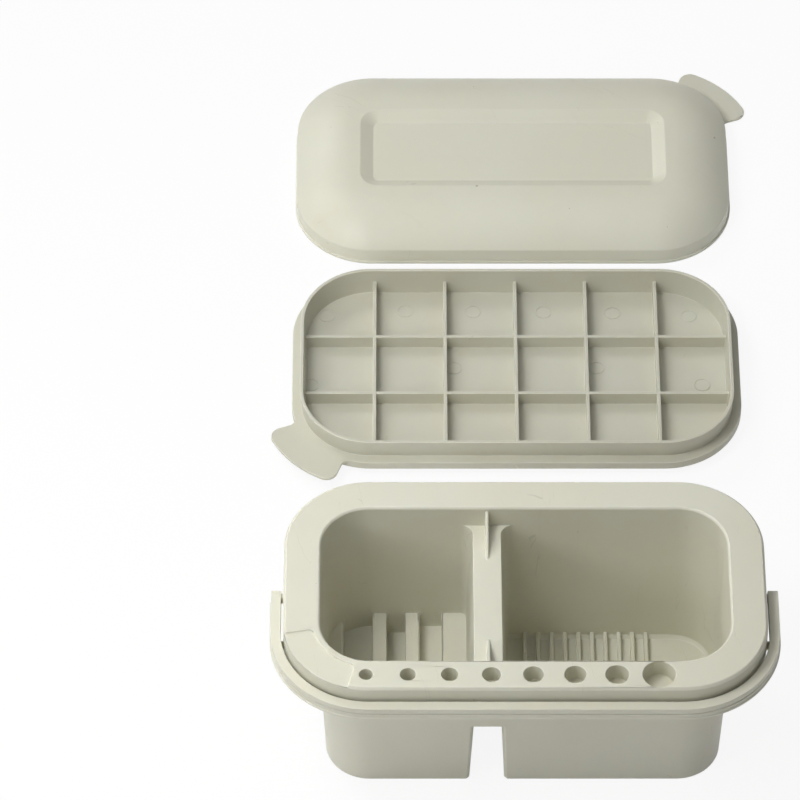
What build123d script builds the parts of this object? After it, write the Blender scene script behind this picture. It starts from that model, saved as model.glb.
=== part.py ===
"""Brush washer: a two-tank water tub with a swinging carry handle, a palette tray and a lid.

The frame's origin is under the tub's centre on the surface it stands on, +Z is up, the row of
brush holes faces -Y and +X is to the right. The tray stands behind the tub and the lid behind the
tray, both the right way up. All lengths are in millimetres and all angles in degrees.
"""
import os
from math import asin, degrees, radians, tan

from build123d import *

# Material
WALL = 1.8                      # moulded wall of every piece
FLOOR = 2.0                     # floor of the tanks and plate of the deck
DRAFT = 2.3                     # slope of the tank walls

# Tub: the deck round the opening, its skirt and the two tanks under it
DECK_LENGTH = 236.0
DECK_WIDTH = 132.0
DECK_CORNER = 42.0
DECK_EDGE = 1.2                 # chamfer of the deck's upper edge
OPENING_EDGE = 0.9              # chamfer of the opening's brim
DECK_BAND = 18.0                # width of the flat rim between the opening and the deck's edge
SKIRT_HEIGHT = 17.0
TUB_HEIGHT = 98.0
TANK_FOOT_CHAMFER = 1.2         # chamfer round the foot of each tank
TANK_FLOOR_CHAMFER = 1.6        # slope round each tank's floor

# Tub: the bridge that parts the tanks and the gap under it
DIVIDER_X = -18.0
DIVIDER_WIDTH = 13.0            # between the tanks at the top of the bridge
DIVIDER_CORNER = 6.5            # inner corners of the tanks beside the bridge
BRIDGE_DROP = 12.5              # bridge below the deck
WEB_DROP = 53.0                 # webs that close the gap's ends, below the deck
GAP_CORNER = 1.5                # chamfer of the tanks' outer corners beside the gap
FIN_THICKNESS = 1.5
FIN_LENGTH = 22.0
FIN_HEIGHT = 10.0

# Tub: blind sockets for brushes in the front rim, from left to right
BRUSH_SOCKET_DIAMETERS = (6.6, 7.6, 8.2, 9.0, 9.8, 10.6, 11.4, 16.0)
BRUSH_SOCKET_PITCH = 20.2
BRUSH_ROW_X = -77.4             # first socket
BRUSH_SOCKET_DEPTH = 10.0
BRUSH_SOCKET_WALL = 1.3         # wall and floor of each socket

# Tub: comb that wipes the brushes in the left tank, and washboard in the right tank
COMB_HEIGHT = 18.0              # above the tank's floor
COMB_LENGTH = 34.0
COMB_SLOTS = ((-64.2, 14.5), (-45.0, 9.2), (-27.6, 11.2))      # middle, from the bridge's, and width
COMB_LEDGE_HEIGHTS = (8.0, 3.0, 8.0)                            # floor of each slot
COMB_LEDGE_SETBACK = 5.0        # ledges behind the comb's front
COMB_LIP_HEIGHT = 2.5
COMB_LIP_THICKNESS = 1.6
RIB_COUNT = 10
RIB_PITCH = 6.8
RIB_THICKNESS = 2.0
RIB_HEIGHT = 3.5
RIB_LENGTH = 40.0
RIB_ROW_X = 2.0                 # first rib

# Carry handle
HANDLE_GAP = 1.2                # between the handle and the skirt
HANDLE_THICKNESS = 5.0
HANDLE_HEIGHT = 7.6
HANDLE_DROP = 8.2               # handle's top below the deck
HANDLE_LIP = 0.5                # thin rim along the handle's lower outer edge
HANDLE_LIP_HEIGHT = 1.2
HANDLE_GROOVE = 0.5
HANDLE_GROOVE_HEIGHT = 0.8
PIVOT_Y = 0.0
PIVOT_RADIUS = 2.4
PIVOT_CLEARANCE = 0.05
STOP_SETBACK = 26.0             # stops under the folded arms, in front of the pivot
STOP_LENGTH = 5.0
STOP_REACH = 4.0
STOP_HEIGHT = 1.2
REST_GAP = 0.3                  # between the folded handle and its stops

# Palette tray
TRAY_MARGIN = 0.5               # tray's flange inside the deck's outline
TRAY_FLANGE = 4.2
TRAY_FLANGE_DROP = 4.8
TRAY_RIM_HEIGHT = 11.0          # rim above the flange
TRAY_DEPTH = 15.5               # inside the rim
TRAY_DRAFT = 4.5
TRAY_COLUMNS = 6
TRAY_ROWS = 3
TRAY_DIVIDER = 1.7
TRAY_DIVIDER_HEIGHT = 7.8
TRAY_FOOT_HEIGHT = 3.0          # ring under the floor that drops into the tub's opening
TRAY_FOOT_CLEARANCE = 0.6

# Finger tabs of the tray and the lid, and the hollow for them in the deck
TAB_REACH = 16.0
TAB_SPAN = 50.0                 # angle about the corner's centre
TAB_ROUND = 6.0
TAB_ROOT_ROUND = 4.0            # where each side of a tab meets the flange
HOLLOW_SPAN = 66.0
HOLLOW_DEPTH = 0.9
HOLLOW_INSET = 3.5              # from the opening's corner
HOLLOW_ROUND = 3.0              # inner corners of the hollow
HOLLOW_BEARING = 223.0          # middle of the hollow, seen from the corner's centre

# Lid
LID_HEIGHT = 22.0
LID_LIP = 0.8                   # lip outside the lid's skirt
LID_LIP_HEIGHT = 1.6
LID_SKIRT_HEIGHT = 10.0
LID_SHOULDER = 30.0             # width of the curved shoulder
LID_STEP = 0.5                  # chamfer between the skirt and the shoulder
LID_RECESS_LENGTH = 165.0
LID_RECESS_WIDTH = 57.0
LID_RECESS_DEPTH = 3.5
LID_RECESS_SLOPE = 7.0          # from the recess's brim to its panel
LID_RECESS_CORNER = 10.0

# Places of the pieces that stand behind the tub
TRAY_DISTANCE = 88.0            # clear floor between the tub's deck and the tray
LID_DISTANCE = 18.0             # clear floor between the tray and the lid

# Worked out
OPENING_LENGTH = DECK_LENGTH - 2 * DECK_BAND
OPENING_WIDTH = DECK_WIDTH - 2 * DECK_BAND
OPENING_CORNER = DECK_CORNER - DECK_BAND
BRUSH_ROW_Y = -(DECK_WIDTH - DECK_BAND) / 2
HANDLE_TOP = TUB_HEIGHT - HANDLE_DROP
PIVOT_Z = HANDLE_TOP - HANDLE_HEIGHT / 2
TRAY_LENGTH = DECK_LENGTH - 2 * TRAY_MARGIN
TRAY_WIDTH = DECK_WIDTH - 2 * TRAY_MARGIN
TRAY_CORNER = DECK_CORNER - TRAY_MARGIN
TRAY_Y = DECK_WIDTH / 2 + TRAY_DISTANCE + TRAY_WIDTH / 2
TRAY_FLOOR_Z = TRAY_FOOT_HEIGHT + WALL
TRAY_RIM_Z = TRAY_FLOOR_Z + TRAY_DEPTH
TRAY_FLANGE_Z = TRAY_RIM_Z - TRAY_RIM_HEIGHT
LID_Y = TRAY_Y + TRAY_WIDTH + LID_DISTANCE

os.makedirs("parts", exist_ok=True)


def facing_down(height, x=0.0, y=0.0):
    """A plane at this height whose sketches extrude downwards."""
    return Plane(origin=(x, y, height), x_dir=(1, 0, 0), z_dir=(0, 0, -1))


def tank_inset(height):
    """How far the tanks' walls have sloped in at this height."""
    return (TUB_HEIGHT - height) * tan(radians(DRAFT))


def well_outline(side, height):
    """The inside of the tank on one side of the bridge at this height."""
    inset = tank_inset(height)
    with BuildSketch() as well:
        RectangleRounded(OPENING_LENGTH - 2 * inset, OPENING_WIDTH - 2 * inset, OPENING_CORNER - inset)
        with Locations((DIVIDER_X + side * (DIVIDER_WIDTH / 2 + inset), 0)):
            Rectangle(OPENING_LENGTH, OPENING_WIDTH, align=(Align.MIN if side < 0 else Align.MAX, Align.CENTER),
                      mode=Mode.SUBTRACT)
        beside_bridge = well.vertices().group_by(Axis.X)[-1 if side < 0 else 0]
        fillet(beside_bridge, DIVIDER_CORNER - inset)
    return well.sketch


def finger_tab(corner_x, corner_y, bearing):
    """A rounded tab on a corner of the flange, with the corner's disc, on this bearing from its centre."""
    centre = (corner_x, corner_y)
    with BuildSketch() as tab:
        with BuildLine():
            outer = CenterArc(centre, TRAY_CORNER + TAB_REACH, bearing - TAB_SPAN / 2, TAB_SPAN)
            root = CenterArc(centre, TRAY_CORNER, bearing - TAB_SPAN / 2, TAB_SPAN, mode=Mode.PRIVATE)
            Line(outer @ 0, centre)
            Line(outer @ 1, centre)
        make_face()
        with Locations(centre):
            Circle(TRAY_CORNER)
        roots = [tab.vertices().sort_by_distance(root @ end)[0] for end in (0, 1)]
        fillet(roots, TAB_ROOT_ROUND)
        tips = tab.vertices().sort_by_distance(centre)[-2:]
        fillet(tips, TAB_ROUND)
    return tab.sketch


# Tub, one moulding

with BuildPart() as tub:
    # Both tanks as one tapered block, hollowed in one down to the bridge
    with BuildSketch(facing_down(TUB_HEIGHT)):
        RectangleRounded(OPENING_LENGTH + 2 * WALL, OPENING_WIDTH + 2 * WALL, OPENING_CORNER + WALL)
    extrude(amount=TUB_HEIGHT, taper=DRAFT)
    with BuildSketch(facing_down(TUB_HEIGHT)):
        RectangleRounded(OPENING_LENGTH, OPENING_WIDTH, OPENING_CORNER)
    extrude(amount=BRIDGE_DROP, taper=DRAFT, mode=Mode.SUBTRACT)

    # Each tank's own well, and the slope round its floor
    slope_top = FLOOR + TANK_FLOOR_CHAMFER
    for side in (-1, 1):
        with BuildSketch(facing_down(TUB_HEIGHT)):
            add(well_outline(side, TUB_HEIGHT))
        extrude(amount=TUB_HEIGHT - slope_top, taper=DRAFT, mode=Mode.SUBTRACT)
        with BuildSketch(facing_down(slope_top)):
            add(well_outline(side, slope_top))
        extrude(amount=TANK_FLOOR_CHAMFER, taper=45, mode=Mode.SUBTRACT)

    # The gap under the bridge, closed by a web at each end, and the notch below the webs
    gap_top = TUB_HEIGHT - BRIDGE_DROP - WALL
    notch_top = TUB_HEIGHT - WEB_DROP
    for gap_end, end_depth in ((gap_top, OPENING_WIDTH), (notch_top, OPENING_WIDTH + 4 * WALL)):
        for height in (0, gap_end):
            with BuildSketch(facing_down(height, x=DIVIDER_X)):
                Rectangle(DIVIDER_WIDTH - 2 * WALL + 2 * tank_inset(height), end_depth - 2 * tank_inset(height))
        loft(mode=Mode.SUBTRACT)
    beside_gap = tub.edges(Select.NEW).filter_by(lambda edge: edge.bounding_box().size.Z > notch_top / 2)
    chamfer(beside_gap, GAP_CORNER)
    chamfer(tub.faces().filter_by(Plane.XY).group_by(Axis.Z)[0].edges(), TANK_FOOT_CHAMFER)

    # Deck and skirt
    with BuildSketch(facing_down(TUB_HEIGHT)):
        RectangleRounded(DECK_LENGTH, DECK_WIDTH, DECK_CORNER)
    extrude(amount=FLOOR)
    with BuildSketch(facing_down(TUB_HEIGHT)):
        RectangleRounded(DECK_LENGTH, DECK_WIDTH, DECK_CORNER)
        RectangleRounded(DECK_LENGTH - 2 * WALL, DECK_WIDTH - 2 * WALL, DECK_CORNER - WALL, mode=Mode.SUBTRACT)
    extrude(amount=SKIRT_HEIGHT)
    # Bodies of the brush sockets under the deck
    with BuildSketch(facing_down(TUB_HEIGHT - FLOOR)):
        for index, diameter in enumerate(BRUSH_SOCKET_DIAMETERS):
            with Locations((BRUSH_ROW_X + index * BRUSH_SOCKET_PITCH, -BRUSH_ROW_Y)):
                Circle(diameter / 2 + BRUSH_SOCKET_WALL)
        RectangleRounded(DECK_LENGTH - WALL, DECK_WIDTH - WALL, DECK_CORNER - WALL / 2, mode=Mode.INTERSECT)
    extrude(amount=BRUSH_SOCKET_DEPTH + BRUSH_SOCKET_WALL - FLOOR)

    # The opening through the deck, and the deck's edges
    with BuildSketch(facing_down(TUB_HEIGHT)):
        RectangleRounded(OPENING_LENGTH, OPENING_WIDTH, OPENING_CORNER)
    extrude(amount=FLOOR, taper=DRAFT, mode=Mode.SUBTRACT)
    deck_top = tub.faces().filter_by(Plane.XY).sort_by(Axis.Z)[-1]
    chamfer(deck_top.outer_wire().edges(), DECK_EDGE)
    deck_top = tub.faces().filter_by(Plane.XY).sort_by(Axis.Z)[-1]
    chamfer(deck_top.inner_wires().edges(), OPENING_EDGE)

    # Brush sockets
    for index, diameter in enumerate(BRUSH_SOCKET_DIAMETERS):
        with Locations((BRUSH_ROW_X + index * BRUSH_SOCKET_PITCH, BRUSH_ROW_Y, TUB_HEIGHT)):
            Hole(diameter / 2, depth=BRUSH_SOCKET_DEPTH)

    # Gusset fins on the bridge, at its front and rear ends
    with BuildSketch(Plane.YZ.offset(DIVIDER_X)):
        for end in (-1, 1):
            wall_y = end * (OPENING_WIDTH + WALL) / 2
            bridge_z = TUB_HEIGHT - BRIDGE_DROP
            with BuildLine():
                Polyline((wall_y, bridge_z - WALL), (wall_y, bridge_z + FIN_HEIGHT),
                         (wall_y - end * WALL, bridge_z + FIN_HEIGHT),
                         (wall_y - end * (WALL + FIN_LENGTH), bridge_z),
                         (wall_y - end * (WALL + FIN_LENGTH), bridge_z - WALL), close=True)
            make_face()
    extrude(amount=FIN_THICKNESS / 2, both=True)

    # Comb in the left tank: a block across the tank, its slots and the ledge with a lip in each slot
    foot_inset = tank_inset(0) - WALL / 2
    rear_wall = OPENING_WIDTH / 2 - foot_inset
    bridge_foot = DIVIDER_X - DIVIDER_WIDTH / 2 - foot_inset
    comb_front = rear_wall - COMB_LENGTH
    with BuildSketch(Plane.XY.offset(FLOOR / 2)):
        with Locations((bridge_foot, comb_front)):
            Rectangle(OPENING_LENGTH, COMB_LENGTH, align=(Align.MAX, Align.MIN))
        for middle, width in COMB_SLOTS:
            with Locations((DIVIDER_X + middle, comb_front)):
                Rectangle(width, COMB_LENGTH, align=(Align.CENTER, Align.MIN), mode=Mode.SUBTRACT)
        RectangleRounded(OPENING_LENGTH - 2 * foot_inset, 2 * rear_wall, OPENING_CORNER - foot_inset,
                         mode=Mode.INTERSECT)
    extrude(amount=COMB_HEIGHT + FLOOR / 2)
    for (middle, width), ledge_height in zip(COMB_SLOTS, COMB_LEDGE_HEIGHTS):
        ledge_front = comb_front + COMB_LEDGE_SETBACK
        for front, back, height in ((ledge_front, rear_wall, ledge_height),
                                    (ledge_front, ledge_front + COMB_LIP_THICKNESS, ledge_height + COMB_LIP_HEIGHT)):
            with BuildSketch(Plane.XY.offset(FLOOR / 2)):
                with Locations((DIVIDER_X + middle, front)):
                    Rectangle(width + WALL, back - front, align=(Align.CENTER, Align.MIN))
            extrude(amount=height + FLOOR / 2)

    # Washboard in the right tank
    with BuildSketch(Plane.XY.offset(FLOOR / 2)):
        for index in range(RIB_COUNT):
            with Locations((RIB_ROW_X + index * RIB_PITCH, rear_wall - RIB_LENGTH / 2)):
                Rectangle(RIB_THICKNESS, RIB_LENGTH)
    extrude(amount=RIB_HEIGHT + FLOOR / 2)

    # Hollow in the deck's front left corner for the tray's tab
    corner_x = -(DECK_LENGTH / 2 - DECK_CORNER)
    corner_y = -(DECK_WIDTH / 2 - DECK_CORNER)
    with BuildSketch(Plane.XY.offset(TUB_HEIGHT - HOLLOW_DEPTH)) as hollow:
        with BuildLine():
            start = HOLLOW_BEARING - HOLLOW_SPAN / 2
            brim = CenterArc((corner_x, corner_y), OPENING_CORNER + HOLLOW_INSET, start, HOLLOW_SPAN)
            beyond = CenterArc((corner_x, corner_y), DECK_CORNER + WALL, start, HOLLOW_SPAN)
            Line(brim @ 0, beyond @ 0)
            Line(brim @ 1, beyond @ 1)
        make_face()
        fillet(hollow.vertices().sort_by_distance((corner_x, corner_y))[:2], HOLLOW_ROUND)
    extrude(amount=2 * HOLLOW_DEPTH, mode=Mode.SUBTRACT)

    # Pivot holes in the skirt's ends, and the stops that the folded handle rests on
    for side in (-1, 1):
        with BuildSketch(Plane.YZ.offset(side * (DECK_LENGTH / 2 - 2 * WALL))):
            with Locations((PIVOT_Y, PIVOT_Z)):
                Circle(PIVOT_RADIUS + PIVOT_CLEARANCE)
        extrude(amount=side * 3 * WALL, mode=Mode.SUBTRACT)
    with BuildSketch(Plane.XY.offset(HANDLE_TOP - HANDLE_HEIGHT - REST_GAP - STOP_HEIGHT)):
        with Locations((0, PIVOT_Y - STOP_SETBACK)):
            with GridLocations(DECK_LENGTH + STOP_REACH - WALL, 0, 2, 1):
                Rectangle(STOP_REACH + WALL, STOP_LENGTH)
    extrude(amount=STOP_HEIGHT)
tub.part.label = "tub"
export_step(tub.part, "parts/tub.step")


# Carry handle, a bail round the skirt's front half with a pin in each end of the skirt

with BuildPart() as carry_handle:
    # The bail's path is its inner face at the pivot's height, from arm to arm round the front
    arm_x = DECK_LENGTH / 2 + HANDLE_GAP
    front_y = -(DECK_WIDTH / 2 + HANDLE_GAP)
    corner = DECK_CORNER + HANDLE_GAP
    with BuildLine(Plane.XY.offset(PIVOT_Z)) as bail:
        FilletPolyline((-arm_x, PIVOT_Y), (-arm_x, front_y), (arm_x, front_y), (arm_x, PIVOT_Y), radius=corner)
    half_height = HANDLE_HEIGHT / 2
    groove = HANDLE_GROOVE_HEIGHT / 2
    rim_top = HANDLE_LIP_HEIGHT - half_height
    with BuildSketch(Plane(origin=(-arm_x, PIVOT_Y, PIVOT_Z), x_dir=(-1, 0, 0), z_dir=(0, 1, 0))):
        with BuildLine():
            Polyline((0, half_height), (0, -half_height),
                     (HANDLE_THICKNESS + HANDLE_LIP, -half_height), (HANDLE_THICKNESS + HANDLE_LIP, rim_top),
                     (HANDLE_THICKNESS, rim_top), (HANDLE_THICKNESS, -groove),
                     (HANDLE_THICKNESS - HANDLE_GROOVE, -groove), (HANDLE_THICKNESS - HANDLE_GROOVE, groove),
                     (HANDLE_THICKNESS, groove), (HANDLE_THICKNESS, half_height), close=True)
        make_face()
    sweep(path=bail.wire())
    # Rounded end of each arm and its pivot pin
    for side in (-1, 1):
        with BuildSketch(Plane.YZ.offset(side * arm_x)):
            with Locations((PIVOT_Y, PIVOT_Z)):
                Circle(half_height)
        extrude(amount=side * HANDLE_THICKNESS)
        with BuildSketch(Plane.YZ.offset(side * arm_x)):
            with Locations((PIVOT_Y, PIVOT_Z)):
                Circle(PIVOT_RADIUS)
        extrude(amount=-side * (HANDLE_GAP + WALL + WALL / 2))
carry_handle.part.label = "carry_handle"
export_step(carry_handle.part, "parts/carry_handle.step")


# Palette tray, one moulding

with BuildPart() as palette_tray:
    rim_length = TRAY_LENGTH - 2 * TRAY_FLANGE
    rim_width = TRAY_WIDTH - 2 * TRAY_FLANGE
    rim_corner = TRAY_CORNER - TRAY_FLANGE
    cell_length = rim_length - 2 * WALL
    cell_width = rim_width - 2 * WALL
    # Wall and floor as one tapered block, the flange with its finger tab and its turned-down edge
    with BuildSketch(facing_down(TRAY_RIM_Z, y=TRAY_Y)):
        RectangleRounded(rim_length, rim_width, rim_corner)
    extrude(amount=TRAY_RIM_Z - TRAY_FOOT_HEIGHT, taper=TRAY_DRAFT)
    with BuildSketch(Plane(origin=(0, TRAY_Y, TRAY_FLANGE_Z - WALL))):
        RectangleRounded(TRAY_LENGTH, TRAY_WIDTH, TRAY_CORNER)
        add(finger_tab(TRAY_CORNER - TRAY_LENGTH / 2, TRAY_CORNER - TRAY_WIDTH / 2, 225))
    extrude(amount=WALL)
    with BuildSketch(facing_down(TRAY_FLANGE_Z, y=TRAY_Y)):
        RectangleRounded(TRAY_LENGTH, TRAY_WIDTH, TRAY_CORNER)
        RectangleRounded(TRAY_LENGTH - 2 * WALL, TRAY_WIDTH - 2 * WALL, TRAY_CORNER - WALL, mode=Mode.SUBTRACT)
    extrude(amount=TRAY_FLANGE_DROP)
    # Inside, down to the cells' floor
    with BuildSketch(facing_down(TRAY_RIM_Z, y=TRAY_Y)):
        RectangleRounded(cell_length, cell_width, rim_corner - WALL)
    extrude(amount=TRAY_DEPTH, taper=TRAY_DRAFT, mode=Mode.SUBTRACT)
    # Dividers between the cells
    with BuildSketch(Plane.XY.offset(TRAY_FLOOR_Z - WALL / 2)):
        with Locations((0, TRAY_Y)):
            with GridLocations(cell_length / TRAY_COLUMNS, 0, TRAY_COLUMNS - 1, 1):
                Rectangle(TRAY_DIVIDER, cell_width)
            with GridLocations(0, cell_width / TRAY_ROWS, 1, TRAY_ROWS - 1):
                Rectangle(cell_length, TRAY_DIVIDER)
    extrude(amount=TRAY_DIVIDER_HEIGHT + WALL / 2)
    # Foot ring that drops into the tub's opening
    foot_length = OPENING_LENGTH - 2 * TRAY_FOOT_CLEARANCE
    foot_width = OPENING_WIDTH - 2 * TRAY_FOOT_CLEARANCE
    foot_corner = OPENING_CORNER - TRAY_FOOT_CLEARANCE
    with BuildSketch(Plane.XY):
        with Locations((0, TRAY_Y)):
            RectangleRounded(foot_length, foot_width, foot_corner)
            RectangleRounded(foot_length - 2 * WALL, foot_width - 2 * WALL, foot_corner - WALL, mode=Mode.SUBTRACT)
    extrude(amount=TRAY_FOOT_HEIGHT)
palette_tray.part.label = "palette_tray"
export_step(palette_tray.part, "parts/palette_tray.step")


# Lid, one moulding

with BuildPart() as lid:
    skirt_length = TRAY_LENGTH - 2 * LID_LIP
    skirt_width = TRAY_WIDTH - 2 * LID_LIP
    skirt_corner = TRAY_CORNER - LID_LIP
    straight_end = skirt_length / 2 - skirt_corner
    # The shoulder is an arc that starts level with the top and ends at the step above the skirt
    shoulder_rise = LID_HEIGHT - LID_SKIRT_HEIGHT
    shoulder_width = LID_SHOULDER - LID_STEP
    shoulder_radius = (shoulder_width ** 2 + shoulder_rise ** 2) / (2 * shoulder_rise)
    shoulder_centre = (LID_SHOULDER, LID_HEIGHT - shoulder_radius)
    outer_turn = degrees(asin(shoulder_width / shoulder_radius))
    inner_turn = degrees(asin((LID_SHOULDER - WALL) / (shoulder_radius - WALL)))
    # The section of skirt and shoulder, along half of the front, round a corner and along half an end
    front = LID_Y - skirt_width / 2
    turn_axis = Axis((straight_end, front + skirt_corner, 0), (0, 0, 1))
    with BuildSketch(Plane(origin=(straight_end, front, 0), x_dir=(0, 1, 0), z_dir=(1, 0, 0))) as section:
        with BuildLine():
            outside = CenterArc(shoulder_centre, shoulder_radius, 90, outer_turn)
            inside = CenterArc(shoulder_centre, shoulder_radius - WALL, 90, inner_turn)
            Line(outside @ 0, inside @ 0)
            Polyline(outside @ 1, (0, LID_SKIRT_HEIGHT - LID_STEP), (0, 0), (WALL, 0), inside @ 1)
        make_face()
    revolve(axis=turn_axis, revolution_arc=90)
    extrude(section.sketch, amount=-straight_end)
    extrude(section.sketch.rotate(turn_axis, 90), amount=skirt_width / 2 - skirt_corner, dir=(0, 1, 0))
    mirror(about=Plane(origin=(0, LID_Y, 0), z_dir=(1, 0, 0)))
    mirror(about=Plane(origin=(0, LID_Y, 0), z_dir=(0, 1, 0)))
    # Flat top with its sunk panel
    with BuildSketch(facing_down(LID_HEIGHT, y=LID_Y)):
        RectangleRounded(skirt_length - 2 * LID_SHOULDER, skirt_width - 2 * LID_SHOULDER,
                         skirt_corner - LID_SHOULDER)
    extrude(amount=WALL)
    for brim_z, mode in ((LID_HEIGHT - WALL, Mode.ADD), (LID_HEIGHT, Mode.SUBTRACT)):
        with BuildSketch(facing_down(brim_z, y=LID_Y)):
            RectangleRounded(LID_RECESS_LENGTH, LID_RECESS_WIDTH, LID_RECESS_CORNER)
        with BuildSketch(facing_down(brim_z - LID_RECESS_DEPTH, y=LID_Y)):
            RectangleRounded(LID_RECESS_LENGTH - 2 * LID_RECESS_SLOPE, LID_RECESS_WIDTH - 2 * LID_RECESS_SLOPE,
                             LID_RECESS_CORNER - LID_RECESS_SLOPE)
        loft(ruled=True, mode=mode)
    # Lip round the lower edge, and the finger tab at the rear right corner
    with BuildSketch(Plane(origin=(0, LID_Y, 0))):
        RectangleRounded(TRAY_LENGTH, TRAY_WIDTH, TRAY_CORNER)
        add(finger_tab(TRAY_LENGTH / 2 - TRAY_CORNER, TRAY_WIDTH / 2 - TRAY_CORNER, 45))
        RectangleRounded(skirt_length - 2 * WALL, skirt_width - 2 * WALL, skirt_corner - WALL, mode=Mode.SUBTRACT)
    extrude(amount=LID_LIP_HEIGHT)
lid.part.label = "lid"
export_step(lid.part, "parts/lid.step")
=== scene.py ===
"""Looks of a brush washer: two-tank tub, swinging carry handle, palette tray and domed lid.

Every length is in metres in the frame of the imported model: +Z is up, the row of brush sockets
faces -Y, the tray stands behind the tub and the lid behind the tray.
"""

import logging
import math
from dataclasses import dataclass, field
from enum import Enum
from typing import Callable, ClassVar

import bpy
from mathutils import Matrix, Vector


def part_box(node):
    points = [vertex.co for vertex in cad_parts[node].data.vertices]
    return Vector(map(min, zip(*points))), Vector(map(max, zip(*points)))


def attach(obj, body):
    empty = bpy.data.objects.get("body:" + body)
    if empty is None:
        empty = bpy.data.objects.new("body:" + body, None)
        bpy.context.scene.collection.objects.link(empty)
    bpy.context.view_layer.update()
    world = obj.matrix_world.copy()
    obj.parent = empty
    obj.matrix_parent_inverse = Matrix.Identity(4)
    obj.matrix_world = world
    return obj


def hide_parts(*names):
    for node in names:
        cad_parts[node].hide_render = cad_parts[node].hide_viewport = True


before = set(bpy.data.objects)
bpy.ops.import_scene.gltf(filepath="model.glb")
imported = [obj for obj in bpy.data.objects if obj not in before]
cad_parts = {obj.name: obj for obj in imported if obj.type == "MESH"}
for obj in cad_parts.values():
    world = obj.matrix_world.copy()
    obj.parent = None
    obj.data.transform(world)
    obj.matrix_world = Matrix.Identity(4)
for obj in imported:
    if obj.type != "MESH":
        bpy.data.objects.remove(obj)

LOG = logging.getLogger("brush_washer")
MM = 0.001
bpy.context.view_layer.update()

LEVEL_NORMAL = 0.99             # a face this upright counts as level
LEVEL_REACH = 0.05 * MM         # and lies at a height within this
CLEARLY_BELOW = 0.1 * MM
MERGE_REACH = 0.002 * MM        # corners of neighbouring triangles are merged within this
SHARP_EDGE = math.radians(20)

# Sockets of a colour Mix node, which share their names with its other kinds
MIX_SHARE, MIX_BELOW, MIX_ABOVE, MIX_RESULT = 0, 6, 7, 2
EDGE_MARK = "rounded_edge"      # face attribute that marks the rounded edges


class Body(Enum):
    """Names of the bodies that pieces ride on."""

    TUB = "tub"
    HANDLE = "carry_handle"
    TRAY = "palette_tray"
    LID = "lid"


class Socket(Enum):
    """Kinds of socket that the shader groups have."""

    NUMBER = "NodeSocketFloat"
    VECTOR = "NodeSocketVector"
    COLOUR = "NodeSocketColor"


# Selecting and making meshes


def deselect_all() -> None:
    """Leave object mode with nothing selected and nothing active."""
    if bpy.context.object and bpy.context.object.mode != "OBJECT":
        bpy.ops.object.mode_set(mode="OBJECT")
    bpy.ops.object.select_all(action="DESELECT")
    bpy.context.view_layer.objects.active = None


def activate(piece: bpy.types.Object) -> None:
    """Make one object the selected and active one.

    Args:
        piece: The object to work on.
    """
    deselect_all()
    piece.select_set(True)
    bpy.context.view_layer.objects.active = piece


def apply_modifiers(piece: bpy.types.Object) -> None:
    """Apply every modifier of a piece in order.

    Args:
        piece: The object whose modifiers become mesh.
    """
    activate(piece)
    for modifier in list(piece.modifiers):
        bpy.ops.object.modifier_apply(modifier=modifier.name)
    deselect_all()


def select_faces(piece: bpy.types.Object, wanted: Callable[[bpy.types.MeshPolygon], bool]) -> None:
    """Select the faces of a piece that pass a test, and go into edit mode with them.

    Args:
        piece: The active piece, in object mode.
        wanted: Test of a face by its place or normal.
    """
    bpy.ops.object.mode_set(mode="EDIT")
    bpy.ops.mesh.select_mode(type="FACE")
    bpy.ops.mesh.select_all(action="DESELECT")
    bpy.ops.object.mode_set(mode="OBJECT")
    for face in piece.data.polygons:
        face.select = wanted(face)
    bpy.ops.object.mode_set(mode="EDIT")


def settle(piece: bpy.types.Object) -> None:
    """Bring a piece's origin to the frame's origin, so that its place is in its mesh.

    Args:
        piece: The piece to settle.
    """
    activate(piece)
    bpy.ops.object.transform_apply(location=True, rotation=True, scale=True)
    deselect_all()


def soften_bar_tops(piece: bpy.types.Object, height: float, right: float, radius: float) -> None:
    """Round the free edges of the bars whose tops are level at one height.

    Args:
        piece: The active moulding, in edit mode.
        height: Height of the bars' tops.
        right: The bars lie to the left of this place.
        radius: How far the rounding reaches in from an edge.
    """
    bpy.ops.mesh.select_mode(type="EDGE")
    bpy.ops.mesh.select_all(action="DESELECT")
    bpy.ops.object.mode_set(mode="OBJECT")
    data = piece.data
    tops = {face.index for face in data.polygons
            if face.normal.z > LEVEL_NORMAL and abs(face.center.z - height) < LEVEL_REACH
            and face.center.x < right}
    beside: dict[tuple[int, int], list[int]] = {}
    for face in data.polygons:
        for key in face.edge_keys:
            beside.setdefault(key, []).append(face.index)
    for edge in data.edges:
        faces = beside.get(edge.key, [])
        outer = [index for index in faces if index not in tops]
        below = [index for index in outer if data.polygons[index].center.z < height - CLEARLY_BELOW]
        edge.select = len(faces) == 2 and len(outer) == 1 and bool(below)
    bpy.ops.object.mode_set(mode="EDIT")
    bpy.ops.mesh.bevel(offset=radius, segments=3, affect="EDGES", clamp_overlap=True)
    bpy.ops.mesh.select_mode(type="VERT")
    bpy.ops.mesh.select_all(action="SELECT")


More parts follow.
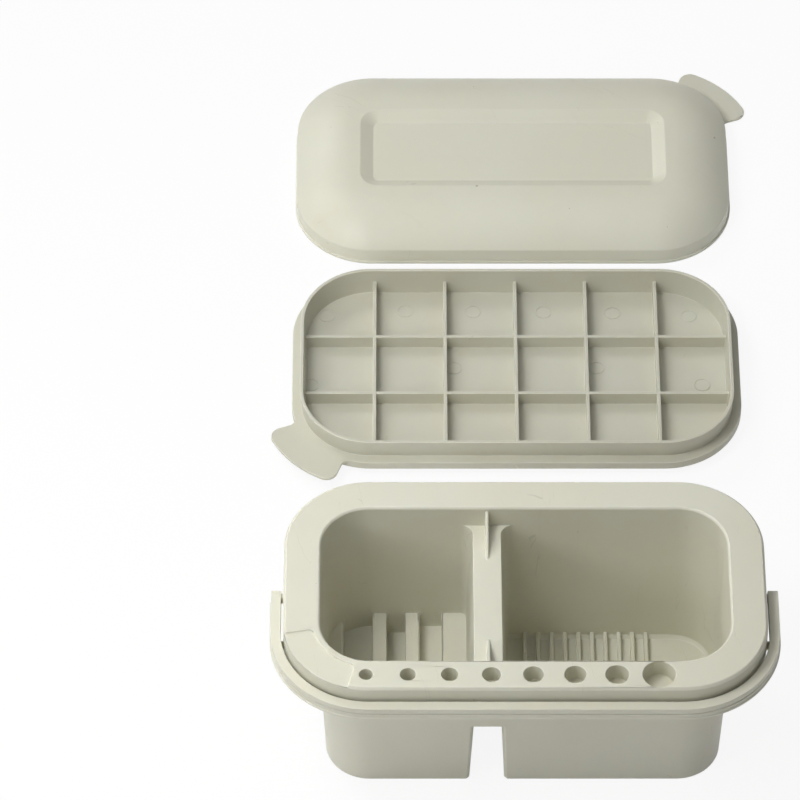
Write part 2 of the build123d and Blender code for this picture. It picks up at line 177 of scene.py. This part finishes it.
def moulded_copy(node: str, name: str, edge: float,
                 shape: Callable[[bpy.types.Object], None] | None = None) -> bpy.types.Object:
    """Copy a moulding and give its sharp edges the small rounding that a mould leaves.

    The faces of the rounding are marked in a face attribute, which the finish reads for edge wear and
    a painted highlight.

    Args:
        node: The moulding's node in the frame.
        name: Name of the new piece.
        edge: Width of the rounding.
        shape: What else is shaped in edit mode before the rounding.

    Returns:
        The new piece, with smooth shading between its rounded edges.
    """
    piece = bpy.data.objects.new(name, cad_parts[node].data.copy())
    piece.data.materials.clear()
    for _ in range(2):
        piece.data.materials.append(None)
    bpy.context.scene.collection.objects.link(piece)
    activate(piece)
    bpy.ops.mesh.customdata_custom_splitnormals_clear()
    bpy.ops.object.mode_set(mode="EDIT")
    bpy.ops.mesh.select_all(action="SELECT")
    bpy.ops.mesh.remove_doubles(threshold=MERGE_REACH)
    if shape:
        shape(piece)
    bpy.ops.mesh.faces_shade_smooth()
    bpy.ops.object.mode_set(mode="OBJECT")
    bevel = piece.modifiers.new("rounded_edges", "BEVEL")
    bevel.width = edge
    bevel.segments = 2
    bevel.limit_method = "ANGLE"
    bevel.angle_limit = SHARP_EDGE
    bevel.use_clamp_overlap = False
    bevel.miter_outer = "MITER_ARC"
    bevel.material = 1
    weighted = piece.modifiers.new("even_shading", "WEIGHTED_NORMAL")
    weighted.keep_sharp = True
    apply_modifiers(piece)
    worn = piece.data.attributes.new(EDGE_MARK, "FLOAT", "FACE")
    for face, value in zip(piece.data.polygons, worn.data):
        value.value = float(face.material_index)
        face.material_index = 0
    piece.data.materials.clear()
    return piece


# Shader groups that the finishes share


class ShaderGroup:
    """A shader node group with named inputs and outputs, laid out from left to right."""

    def __init__(self, name: str) -> None:
        """Start an empty group.

        Args:
            name: The group's name.
        """
        self.tree = bpy.data.node_groups.new(name, "ShaderNodeTree")

    def socket(self, name: str, kind: Socket, outgoing: bool = False,
               value: float | None = None) -> None:
        """Add a socket to the group's interface.

        Args:
            name: The socket's name.
            kind: What it carries.
            outgoing: True for an output.
            value: What an input holds when nothing is set.
        """
        way = "OUTPUT" if outgoing else "INPUT"
        made = self.tree.interface.new_socket(name=name, in_out=way, socket_type=kind.value)
        if value is not None:
            made.default_value = value

    def ends(self) -> tuple[bpy.types.Node, bpy.types.Node]:
        """Add the group's input and output nodes.

        Returns:
            The input node and the output node.
        """
        return self.node("NodeGroupInput"), self.node("NodeGroupOutput")

    def node(self, kind: str, **settings: object) -> bpy.types.Node:
        """Add a node with its settings.

        Args:
            kind: Blender's name of the node's type.
            settings: Properties of the node.

        Returns:
            The new node.
        """
        made = self.tree.nodes.new(kind)
        for key, value in settings.items():
            setattr(made, key, value)
        return made

    def link(self, start: bpy.types.NodeSocket, end: bpy.types.NodeSocket) -> None:
        """Link two sockets."""
        self.tree.links.new(start, end)

    def noise(self, vector: bpy.types.NodeSocket, scale: float | bpy.types.NodeSocket,
              detail: float, rough: float = 0.5) -> bpy.types.Node:
        """Add a noise texture.

        Args:
            vector: Where the noise is read.
            scale: Its scale, or a socket that gives it.
            detail: Its number of octaves.
            rough: Its roughness.

        Returns:
            The noise node.
        """
        made = self.node("ShaderNodeTexNoise")
        self.link(vector, made.inputs["Vector"])
        if isinstance(scale, (int, float)):
            made.inputs["Scale"].default_value = scale
        else:
            self.link(scale, made.inputs["Scale"])
        made.inputs["Detail"].default_value = detail
        made.inputs["Roughness"].default_value = rough
        return made

    def maths(self, operation: str, *terms: float | bpy.types.NodeSocket) -> bpy.types.NodeSocket:
        """Add a maths node.

        Args:
            operation: Blender's name of the operation.
            terms: Numbers or sockets, in order.

        Returns:
            The node's result.
        """
        made = self.node("ShaderNodeMath", operation=operation)
        for place, term in zip(made.inputs, terms):
            if isinstance(term, (int, float)):
                place.default_value = term
            else:
                self.link(term, place)
        return made.outputs[0]

    def ramp(self, value: bpy.types.NodeSocket, low: float, high: float) -> bpy.types.NodeSocket:
        """Turn a value into a soft mask from 0 at low to 1 at high.

        Args:
            value: The value.
            low: Where the mask starts.
            high: Where the mask is full.

        Returns:
            The mask.
        """
        made = self.node("ShaderNodeMapRange", interpolation_type="SMOOTHSTEP")
        self.link(value, made.inputs["Value"])
        made.inputs["From Min"].default_value = low
        made.inputs["From Max"].default_value = high
        return made.outputs["Result"]


def tone_drift_group() -> bpy.types.NodeTree:
    """Build slow drift between two tones of one plastic.

    Returns:
        A group that gives a colour.
    """
    group = ShaderGroup("tone_drift")
    group.socket("Vector", Socket.VECTOR)
    group.socket("Colour", Socket.COLOUR)
    group.socket("Second Colour", Socket.COLOUR)
    group.socket("Scale", Socket.NUMBER, value=12.0)
    group.socket("Colour", Socket.COLOUR, outgoing=True)
    start, end = group.ends()
    clouds = group.noise(start.outputs["Vector"], start.outputs["Scale"], 3.0, 0.55)
    share = group.ramp(clouds.outputs["Fac"], 0.35, 0.65)
    mix = group.node("ShaderNodeMix", data_type="RGBA")
    group.link(share, mix.inputs[MIX_SHARE])
    group.link(start.outputs["Colour"], mix.inputs[MIX_BELOW])
    group.link(start.outputs["Second Colour"], mix.inputs[MIX_ABOVE])
    group.link(mix.outputs[MIX_RESULT], end.inputs["Colour"])
    return group.tree


def mould_grain_group() -> bpy.types.NodeTree:
    """Build the fine matte grain that an eroded mould leaves, with faint flow ripple.

    Returns:
        A group that gives a height and a change of roughness.
    """
    grain_height, ripple_height, ripple_gloss = 0.35, 1.6, 0.12
    group = ShaderGroup("mould_grain")
    group.socket("Vector", Socket.VECTOR)
    group.socket("Grain Scale", Socket.NUMBER, value=2600.0)
    group.socket("Ripple Scale", Socket.NUMBER, value=60.0)
    group.socket("Height", Socket.NUMBER, outgoing=True)
    group.socket("Roughness", Socket.NUMBER, outgoing=True)
    start, end = group.ends()
    grain = group.noise(start.outputs["Vector"], start.outputs["Grain Scale"], 2.0, 0.6)
    ripple = group.noise(start.outputs["Vector"], start.outputs["Ripple Scale"], 2.0, 0.4)
    fine = group.maths("MULTIPLY", grain.outputs["Fac"], grain_height)
    broad = group.maths("MULTIPLY", ripple.outputs["Fac"], ripple_height)
    group.link(group.maths("ADD", fine, broad), end.inputs["Height"])
    change = group.maths("SUBTRACT", ripple.outputs["Fac"], 0.5)
    group.link(group.maths("MULTIPLY", change, ripple_gloss), end.inputs["Roughness"])
    return group.tree


def hairlines_group() -> bpy.types.NodeTree:
    """Build thin short scratches in two directions, gathered in patches.

    Returns:
        A group that gives a mask.
    """
    bend_scale, bend_reach = 110.0, 4 * MM
    directions = ((0.5, 13.0), (-0.9, 17.0))    # turn and scale of each set of lines
    stretch, line_width = 9, 0.010
    patch_sharpness = 14.0
    group = ShaderGroup("hairlines")
    group.socket("Vector", Socket.VECTOR)
    group.socket("Scale", Socket.NUMBER, value=28.0)
    group.socket("Share", Socket.NUMBER, value=0.5)
    group.socket("Mask", Socket.NUMBER, outgoing=True)
    start, end = group.ends()
    patches = group.noise(start.outputs["Vector"], start.outputs["Scale"], 1.0)
    bend = group.noise(start.outputs["Vector"], bend_scale, 1.0)
    bent = group.node("ShaderNodeVectorMath", operation="MULTIPLY_ADD")
    group.link(bend.outputs["Color"], bent.inputs[0])
    bent.inputs[1].default_value = (bend_reach,) * 3
    group.link(start.outputs["Vector"], bent.inputs[2])
    lines: list[bpy.types.NodeSocket] = []
    for turn, squeeze in directions:
        turned = group.node("ShaderNodeMapping")
        group.link(bent.outputs[0], turned.inputs["Vector"])
        turned.inputs["Rotation"].default_value = (0.0, 0.0, turn)
        turned.inputs["Scale"].default_value = (squeeze * stretch, squeeze, squeeze)
        cells = group.node("ShaderNodeTexVoronoi", feature="DISTANCE_TO_EDGE")
        group.link(turned.outputs[0], cells.inputs["Vector"])
        cells.inputs["Scale"].default_value = 1.0
        near = group.ramp(cells.outputs["Distance"], line_width, 0.0)
        broken = group.noise(turned.outputs[0], 2.3, 0.0)
        lines.append(group.maths("MULTIPLY", near, group.ramp(broken.outputs["Fac"], 0.6, 0.68)))
    both = group.maths("MAXIMUM", lines[0], lines[1])
    edge = group.maths("SUBTRACT", 1.0, start.outputs["Share"])
    inside = group.maths("SUBTRACT", patches.outputs["Fac"], edge)
    where = group.ramp(group.maths("MULTIPLY", inside, patch_sharpness), 0.0, 1.0)
    group.link(group.maths("MULTIPLY", both, where), end.inputs["Mask"])
    return group.tree


def flecks_group() -> bpy.types.NodeTree:
    """Build scattered specks, each in a cell of its own, of which only some are filled.

    Returns:
        A group that gives a mask.
    """
    group = ShaderGroup("flecks")
    group.socket("Vector", Socket.VECTOR)
    group.socket("Scale", Socket.NUMBER, value=90.0)
    group.socket("Radius", Socket.NUMBER, value=0.03)
    group.socket("Share", Socket.NUMBER, value=0.2)
    group.socket("Mask", Socket.NUMBER, outgoing=True)
    start, end = group.ends()
    cells = group.node("ShaderNodeTexVoronoi", feature="F1")
    group.link(start.outputs["Vector"], cells.inputs["Vector"])
    group.link(start.outputs["Scale"], cells.inputs["Scale"])
    pick = group.node("ShaderNodeSeparateColor")
    group.link(cells.outputs["Color"], pick.inputs[0])
    least_size = 0.4
    spread = group.maths("ADD", least_size, pick.outputs[1])
    size = group.maths("MULTIPLY", start.outputs["Radius"], spread)
    ratio = group.maths("DIVIDE", cells.outputs["Distance"], size)
    dot = group.ramp(ratio, 1.0, 0.6)
    filled = group.maths("LESS_THAN", pick.outputs[0], start.outputs["Share"])
    group.link(group.maths("MULTIPLY", dot, filled), end.inputs["Mask"])
    return group.tree


def edge_wear_and_highlight_group() -> bpy.types.NodeTree:
    """Build the rubbed wear and painted highlight of the rounded edges, which the face attribute
    marks.

    Returns:
        A group that gives a mask.
    """
    group = ShaderGroup("edge_wear_and_highlight")
    group.socket("Vector", Socket.VECTOR)
    group.socket("Edge", Socket.NUMBER)
    group.socket("Scale", Socket.NUMBER, value=55.0)
    group.socket("Mask", Socket.NUMBER, outgoing=True)
    start, end = group.ends()
    patches = group.noise(start.outputs["Vector"], start.outputs["Scale"], 3.0, 0.6)
    share = group.ramp(patches.outputs["Fac"], 0.3, 0.6)
    group.link(group.maths("MULTIPLY", start.outputs["Edge"], share), end.inputs["Mask"])
    return group.tree


def settled_dust_group() -> bpy.types.NodeTree:
    """Build thin dust on faces that look up, in soft patches.

    Returns:
        A group that gives a mask.
    """
    group = ShaderGroup("settled_dust")
    group.socket("Vector", Socket.VECTOR)
    group.socket("Scale", Socket.NUMBER, value=25.0)
    group.socket("Mask", Socket.NUMBER, outgoing=True)
    start, end = group.ends()
    facing = group.node("ShaderNodeSeparateXYZ")
    geometry = group.node("ShaderNodeNewGeometry")
    group.link(geometry.outputs["Normal"], facing.inputs[0])
    upward = group.ramp(facing.outputs["Z"], 0.6, 1.0)
    patches = group.noise(start.outputs["Vector"], start.outputs["Scale"], 5.0, 0.65)
    share = group.ramp(patches.outputs["Fac"], 0.4, 0.75)
    group.link(group.maths("MULTIPLY", upward, share), end.inputs["Mask"])
    return group.tree


@dataclass
class FinishGroups:
    """The shader groups, each built once."""

    drift: bpy.types.NodeTree = field(default_factory=tone_drift_group)
    grain: bpy.types.NodeTree = field(default_factory=mould_grain_group)
    lines: bpy.types.NodeTree = field(default_factory=hairlines_group)
    flecks: bpy.types.NodeTree = field(default_factory=flecks_group)
    wear_and_highlight: bpy.types.NodeTree = field(default_factory=edge_wear_and_highlight_group)
    dust: bpy.types.NodeTree = field(default_factory=settled_dust_group)


# Finishes


Colour = tuple[float, float, float]
PALE: Colour = (0.665, 0.66, 0.555)
PALE_WARM: Colour = (0.655, 0.64, 0.525)
FLECK: Colour = (0.34, 0.33, 0.26)
# Lighter colour laid on the rounded edges, as rubbed wear and painted highlight, and on settled dust
RUBBED_DUST_AND_HIGHLIGHT: Colour = (0.74, 0.73, 0.64)


class FinishTree:
    """The nodes of one finish, whose patterns all read one centred and turned place."""

    def __init__(self, material: bpy.types.Material, centre: tuple[float, float, float],
                 turn: float) -> None:
        """Start from the material's own shader.

        Args:
            material: The new material.
            centre: Where the patterns are centred.
            turn: How far they are turned about the upright axis.
        """
        material.use_nodes = True
        self.nodes, self.links = material.node_tree.nodes, material.node_tree.links
        self.shader = self.nodes["Principled BSDF"]
        place = self.nodes.new("ShaderNodeTexCoord")
        self.turned = self.nodes.new("ShaderNodeMapping")
        self.turned.vector_type = "TEXTURE"
        self.turned.inputs["Location"].default_value = centre
        self.turned.inputs["Rotation"].default_value = (0.0, 0.0, turn)
        self.links.new(place.outputs["Object"], self.turned.inputs["Vector"])

    def group(self, tree: bpy.types.NodeTree, **values: float) -> bpy.types.Node:
        """Place a shader group and set its numbers.

        Args:
            tree: The shared group.
            values: Its inputs' values, by their names in lower case.

        Returns:
            The group's node.
        """
        made = self.nodes.new("ShaderNodeGroup")
        made.node_tree = tree
        self.links.new(self.turned.outputs[0], made.inputs["Vector"])
        for key, value in values.items():
            made.inputs[key.replace("_", " ").title()].default_value = value
        return made

    def blend(self, below: bpy.types.NodeSocket, above: Colour, mask: bpy.types.NodeSocket,
              strength: float) -> bpy.types.NodeSocket:
        """Lay a colour over another where a mask says.

        Args:
            below: The colour so far.
            above: The colour that goes over it.
            mask: Where it goes.
            strength: How much of it shows there.

        Returns:
            The blended colour.
        """
        share = self.nodes.new("ShaderNodeMath")
        share.operation = "MULTIPLY"
        share.inputs[1].default_value = strength
        self.links.new(mask, share.inputs[0])
        mix = self.nodes.new("ShaderNodeMix")
        mix.data_type = "RGBA"
        self.links.new(share.outputs[0], mix.inputs[MIX_SHARE])
        self.links.new(below, mix.inputs[MIX_BELOW])
        mix.inputs[MIX_ABOVE].default_value = (*above, 1.0)
        return mix.outputs[MIX_RESULT]

    def weigh(self, value: bpy.types.NodeSocket, weight: float,
              base: float | bpy.types.NodeSocket) -> bpy.types.NodeSocket:
        """Give value times weight plus base.

        Args:
            value: What is weighed.
            weight: Its weight.
            base: What it is added to.

        Returns:
            The sum.
        """
        made = self.nodes.new("ShaderNodeMath")
        made.operation = "MULTIPLY_ADD"
        self.links.new(value, made.inputs[0])
        made.inputs[1].default_value = weight
        if isinstance(base, (int, float)):
            made.inputs[2].default_value = base
        else:
            self.links.new(base, made.inputs[2])
        return made.outputs[0]


@dataclass(frozen=True)
class MouldedPlastic:
    """The pale matte plastic of one moulding."""

    name: str
    centre: tuple[float, float, float]
    turn: float = 0.0
    colour: Colour = PALE
    second_colour: Colour = PALE_WARM
    tone: float = 1.0
    roughness: float = 0.46
    refraction: float = 1.49
    inner_glow: float = 0.15
    glow_reach: float = 3 * MM
    glow_colour: Colour = (1.0, 0.8, 0.5)
    drift_scale: float = 14.0
    grain_scale: float = 2600.0
    ripple_scale: float = 55.0
    relief: float = 0.025 * MM
    line_share: float = 0.47
    line_strength: float = 0.16
    line_roughness: float = 0.15
    fleck_scale: float = 70.0
    fleck_radius: float = 0.032
    fleck_share: float = 0.12
    fleck_strength: float = 0.75
    # Share of the lighter colour on the rounded edges: rubbed wear and painted highlight
    edge_strength: float = 0.6
    edge_roughness: float = -0.12
    dust_strength: float = 0.10
    dust_roughness: float = 0.12

    def toned(self, colour: Colour) -> tuple[float, float, float, float]:
        """Scale a colour by the moulding's tone."""
        return (*(part * self.tone for part in colour), 1.0)

    def material(self, groups: FinishGroups) -> bpy.types.Material:
        """Build the finish.

        Args:
            groups: The shared shader groups.

        Returns:
            A node material for the moulding.
        """
        material = bpy.data.materials.new(self.name)
        tree = FinishTree(material, self.centre, self.turn)
        shader, links = tree.shader, tree.links
        shader.inputs["Subsurface Weight"].default_value = self.inner_glow
        shader.inputs["Subsurface Radius"].default_value = self.glow_colour
        shader.inputs["Subsurface Scale"].default_value = self.glow_reach
        shader.inputs["IOR"].default_value = self.refraction

        drift = tree.group(groups.drift, scale=self.drift_scale)
        drift.inputs["Colour"].default_value = self.toned(self.colour)
        drift.inputs["Second Colour"].default_value = self.toned(self.second_colour)
        grain = tree.group(groups.grain, grain_scale=self.grain_scale, ripple_scale=self.ripple_scale)
        lines = tree.group(groups.lines, share=self.line_share)
        flecks = tree.group(groups.flecks, scale=self.fleck_scale, radius=self.fleck_radius,
                            share=self.fleck_share)
        dust = tree.group(groups.dust)
        wear_and_highlight = tree.group(groups.wear_and_highlight)
        edge = tree.nodes.new("ShaderNodeAttribute")
        edge.attribute_name = EDGE_MARK
        links.new(edge.outputs["Fac"], wear_and_highlight.inputs["Edge"])

        colour = drift.outputs["Colour"]
        # Rounded edges get a lighter colour, as rubbed wear and painted highlight; upward faces get
        # patches of dust
        for above, layer, strength in ((RUBBED_DUST_AND_HIGHLIGHT, wear_and_highlight, self.edge_strength),
                                       (RUBBED_DUST_AND_HIGHLIGHT, dust, self.dust_strength),
                                       (FLECK, flecks, self.fleck_strength),
                                       (FLECK, lines, self.line_strength)):
            colour = tree.blend(colour, above, layer.outputs["Mask"], strength)
        links.new(colour, shader.inputs["Base Color"])
        rough = tree.weigh(grain.outputs["Roughness"], 1.0, self.roughness)
        for layer, weight in ((lines, self.line_roughness), (wear_and_highlight, self.edge_roughness),
                              (dust, self.dust_roughness)):
            rough = tree.weigh(layer.outputs["Mask"], weight, rough)
        links.new(rough, shader.inputs["Roughness"])
        bump = tree.nodes.new("ShaderNodeBump")
        bump.inputs["Distance"].default_value = self.relief
        links.new(grain.outputs["Height"], bump.inputs["Height"])
        links.new(bump.outputs["Normal"], shader.inputs["Normal"])
        return material


# The four mouldings and the marks that their moulds leave


def centre_of(node: str) -> tuple[float, float, float]:
    """Find the middle of a node's box, which its pattern is centred on."""
    low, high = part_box(node)
    return tuple((a + b) / 2 for a, b in zip(low, high))


@dataclass
class Moulding:
    """One moulding shown as a rounded copy of its node."""

    body: ClassVar[Body]
    groups: FinishGroups
    edge: float = 0.3 * MM

    def finish(self) -> MouldedPlastic:
        """Choose the moulding's finish."""
        raise NotImplementedError

    def shape(self, piece: bpy.types.Object) -> None:
        """Shape the copy in edit mode before its edges are rounded.

        Args:
            piece: The moulding's copy, active and selected all over.
        """

    def marks(self, material: bpy.types.Material) -> int:
        """Add the mould's marks.

        Args:
            material: The moulding's finish.

        Returns:
            How many marks were added.
        """
        return 0

    def dress(self, piece: bpy.types.Object, material: bpy.types.Material) -> None:
        """Give a piece its finish and hang it on the moulding's body.

        Args:
            piece: The piece.
            material: Its finish.
        """
        piece.data.materials.clear()
        piece.data.materials.append(material)
        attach(piece, self.body.value)

    def build(self) -> None:
        """Build, dress and hang the moulding and its marks."""
        name = self.body.value
        piece = moulded_copy(name, name + "_moulding", self.edge, self.shape)
        material = self.finish().material(self.groups)
        self.dress(piece, material)
        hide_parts(name)
        marks = self.marks(material)
        LOG.info("piece %s on body %s: %d faces, %d marks",
                 piece.name, name, len(piece.data.polygons), marks)


@dataclass
class Tub(Moulding):
    """The tub with its two tanks, deck and skirt."""

    body = Body.TUB
    edge: float = 0.35 * MM
    bar_height: float = 20.0 * MM
    bar_right: float = -20.0 * MM
    bar_round: float = 1.3 * MM

    def shape(self, piece: bpy.types.Object) -> None:
        """Round the tops of the comb's bars.

        Args:
            piece: The moulding's copy, active and selected all over.
        """
        soften_bar_tops(piece, self.bar_height, self.bar_right, self.bar_round)

    def finish(self) -> MouldedPlastic:
        """Choose the moulding's finish."""
        return MouldedPlastic("tub_plastic", centre_of("tub"), turn=0.2, line_share=0.5,
                              line_strength=0.3)


@dataclass
class CarryHandle(Moulding):
    """The bail that swings over the tub."""

    body = Body.HANDLE

    def finish(self) -> MouldedPlastic:
        """Choose the moulding's finish."""
        return MouldedPlastic("carry_handle_plastic", centre_of("carry_handle"), turn=0.7,
                              line_share=0.45, fleck_share=0.08, roughness=0.44)


@dataclass
class PaletteTray(Moulding):
    """The tray with its eighteen cells."""

    body = Body.TRAY
    ring_radius: float = 4.2 * MM
    ring_width: float = 0.36 * MM
    ring_height: float = 0.28 * MM
    ring_sink: float = 0.3 * MM
    ring_hollow: float = 0.1 * MM
    ring_round: float = 0.07 * MM
    rings: tuple[tuple[float, float], ...] = (
        (-94.5, 46.5), (-53.0, 50.0), (-17.0, 49.5), (20.3, 49.2), (57.0, 48.6), (97.5, 46.5),
        (-102.5, -2.4), (-65.0, -11.6), (-27.3, 9.4), (10.9, -11.5), (47.7, 9.5), (103.0, -2.4))
    floor_height: float = 4.8 * MM
    skirt_front: float = 154.0 * MM
    gate_radius: float = 1.2 * MM
    gate_height: float = 6.2 * MM
    gate_shape: tuple[float, float, float] = (1.0, 0.46, 0.75)
    gate_trim: tuple[float, float, float] = (0.55, 1.0, 0.5)

    def finish(self) -> MouldedPlastic:
        """Choose the moulding's finish."""
        return MouldedPlastic("palette_tray_plastic", centre_of("palette_tray"), turn=-0.4,
                              tone=0.89, line_share=0.46)

    def pin_ring(self) -> bpy.types.Object:
        """Model the faint ring that an ejector pin leaves on a cell's floor, at the tray's middle.

        Returns:
            The ring, its foot sunk in the floor.
        """
        deselect_all()
        across, along, _ = centre_of("palette_tray")
        height = self.ring_sink + self.ring_height
        middle = self.floor_height - self.ring_sink + height / 2
        bpy.ops.mesh.primitive_cylinder_add(vertices=40, radius=self.ring_radius, depth=height,
                                            location=(across, along, middle))
        ring = bpy.context.object
        select_faces(ring, lambda face: face.normal.z > 0.9)
        bpy.ops.mesh.inset(thickness=self.ring_width)
        down = (0, 0, -self.ring_height - self.ring_hollow)
        bpy.ops.mesh.extrude_region_move(TRANSFORM_OT_translate={"value": down})
        bpy.ops.object.mode_set(mode="OBJECT")
        bevel = ring.modifiers.new("soft_ridge", "BEVEL")
        bevel.width = self.ring_round
        bevel.segments = 2
        bevel.limit_method = "ANGLE"
        apply_modifiers(ring)
        activate(ring)
        bpy.ops.object.shade_smooth_by_angle(angle=math.radians(40))
        settle(ring)
        return ring

    def gate_mark(self) -> bpy.types.Object:
        """Model the trimmed stub of the mould's gate on the front of the turned-down edge.

        Returns:
            The stub.
        """
        deselect_all()
        place = (0, self.skirt_front, self.gate_height)
        bpy.ops.mesh.primitive_uv_sphere_add(segments=16, ring_count=8, radius=self.gate_radius,
                                             location=place)
        stub = bpy.context.object
        bpy.ops.object.mode_set(mode="EDIT")
        bpy.ops.mesh.select_all(action="SELECT")
        bpy.ops.transform.resize(value=self.gate_shape)
        bpy.ops.object.mode_set(mode="OBJECT")
        select_faces(stub, lambda face: face.center.x > 0 and face.center.z > 0)
        bpy.ops.transform.resize(value=self.gate_trim, center_override=place)
        bpy.ops.object.mode_set(mode="OBJECT")
        bpy.ops.object.shade_smooth_by_angle(angle=math.radians(50))
        settle(stub)
        return stub

    def marks(self, material: bpy.types.Material) -> int:
        """Add the rings of the ejector pins and the gate's stub.

        Args:
            material: The moulding's finish.

        Returns:
            How many marks were added.
        """
        first = self.pin_ring()
        for number, (across, along) in enumerate(self.rings, start=1):
            data = first.data.copy()
            data.transform(Matrix.Translation((across * MM, along * MM, 0)))
            ring = bpy.data.objects.new(f"pin_ring_{number}", data)
            bpy.context.scene.collection.objects.link(ring)
            self.dress(ring, material)
        bpy.data.objects.remove(first)
        stub = self.gate_mark()
        stub.name = "tray_gate_mark"
        self.dress(stub, material)
        return len(self.rings) + 1


@dataclass
class Lid(Moulding):
    """The domed lid with its sunk panel."""

    body = Body.LID

    def finish(self) -> MouldedPlastic:
        """Choose the moulding's finish."""
        return MouldedPlastic("lid_plastic", centre_of("lid"), turn=0.9, tone=1.09,
                              line_share=0.42, line_strength=0.2, fleck_share=0.36,
                              fleck_radius=0.05, roughness=0.44)


# Floor, light and camera


@dataclass
class Lamp:
    """A soft square lamp that faces the pieces."""

    name: str
    place: tuple[float, float, float]
    size: float
    power: float

    def build(self, target: tuple[float, float, float]) -> None:
        """Hang the lamp.

        Args:
            target: Point that it faces.
        """
        data = bpy.data.lights.new(self.name, "AREA")
        data.size = self.size
        data.energy = self.power
        lamp = bpy.data.objects.new(self.name, data)
        lamp.location = self.place
        lamp.visible_camera = False
        lamp.rotation_euler = (Vector(target) - Vector(self.place)).to_track_quat("-Z", "Y").to_euler()
        bpy.context.scene.collection.objects.link(lamp)


@dataclass
class Studio:
    """Floor, light and camera."""

    target: tuple[float, float, float] = (-0.061, 0.2056, 0.0)
    elevation: float = 48.6
    distance: float = 3.0
    focal_mm: float = 257.0
    near_clip: float = 0.05
    lit_point: tuple[float, float, float] = (0.0, 0.172, 0.0)
    room: float = 0.25
    floor_size: float = 12.0
    floor_tone: float = 0.9
    floor_glow: float = 0.9     # share of plain white that the camera and reflections see
    lamps: tuple[Lamp, ...] = (
        Lamp("key_lamp", (-0.35, 0.0, 0.75), 0.25, 2.5),
        Lamp("front_lamp", (-0.3, -0.35, 1.0), 0.3, 1.2),
        Lamp("low_lamp", (-0.7, -0.5, 0.51), 0.35, 2.0),
        Lamp("rear_lamp", (-1.5, 1.7, 1.7), 0.9, 20.0),
        Lamp("high_lamp", (0.0, 0.6, 2.3), 0.9, 3.0),
    )

    def floor(self) -> None:
        """Lay a pale floor whose shadows stay light."""
        bpy.ops.mesh.primitive_plane_add(size=self.floor_size, location=(0, 0, 0))
        floor = bpy.context.object
        floor.name = "floor"
        material = bpy.data.materials.new("pale_floor")
        material.use_nodes = True
        nodes, links = material.node_tree.nodes, material.node_tree.links
        nodes.clear()
        output = nodes.new("ShaderNodeOutputMaterial")
        mix = nodes.new("ShaderNodeMixShader")
        lit = nodes.new("ShaderNodeBsdfDiffuse")
        lit.inputs["Color"].default_value = (self.floor_tone,) * 3 + (1,)
        glow = nodes.new("ShaderNodeEmission")
        glow.inputs["Color"].default_value = (1, 1, 1, 1)
        glow.inputs["Strength"].default_value = 1.0
        path = nodes.new("ShaderNodeLightPath")
        share = nodes.new("ShaderNodeMath")
        share.operation = "MULTIPLY"
        share.inputs[1].default_value = self.floor_glow
        either = nodes.new("ShaderNodeMath")
        either.operation = "MAXIMUM"
        links.new(path.outputs["Is Camera Ray"], either.inputs[0])
        links.new(path.outputs["Is Glossy Ray"], either.inputs[1])
        links.new(either.outputs[0], share.inputs[0])
        links.new(share.outputs[0], mix.inputs[0])
        links.new(lit.outputs[0], mix.inputs[1])
        links.new(glow.outputs[0], mix.inputs[2])
        links.new(mix.outputs[0], output.inputs[0])
        floor.data.materials.append(material)

    def lights(self) -> None:
        """Hang the lamps and light the room."""
        for lamp in self.lamps:
            lamp.build(self.lit_point)
        world = bpy.data.worlds.new("soft_room")
        bpy.context.scene.world = world
        world.use_nodes = True
        background = world.node_tree.nodes["Background"]
        background.inputs["Color"].default_value = (1, 1, 1, 1)
        background.inputs["Strength"].default_value = self.room

    def camera(self) -> None:
        """Place the camera in front of the tub, looking down on the pieces."""
        data = bpy.data.cameras.new("camera")
        data.lens = self.focal_mm
        data.sensor_width = 36
        data.clip_start = self.near_clip
        camera = bpy.data.objects.new("camera", data)
        tilt = math.radians(self.elevation)
        offset = Vector((0, -math.cos(tilt), math.sin(tilt))) * self.distance
        camera.location = Vector(self.target) + offset
        camera.rotation_euler = (-offset).to_track_quat("-Z", "Y").to_euler()
        bpy.context.scene.collection.objects.link(camera)
        bpy.context.scene.camera = camera

    def build(self) -> None:
        """Set up floor, light and camera."""
        self.floor()
        self.lights()
        self.camera()
        bpy.context.scene.view_settings.view_transform = "Standard"


def main() -> None:
    """Build every piece and the studio, in order."""
    logging.basicConfig(level=logging.INFO, format="%(name)s: %(message)s")
    deselect_all()
    groups = FinishGroups()
    Tub(groups).build()
    CarryHandle(groups).build()
    PaletteTray(groups).build()
    Lid(groups).build()
    Studio().build()


if __name__ == "__main__":
    main()
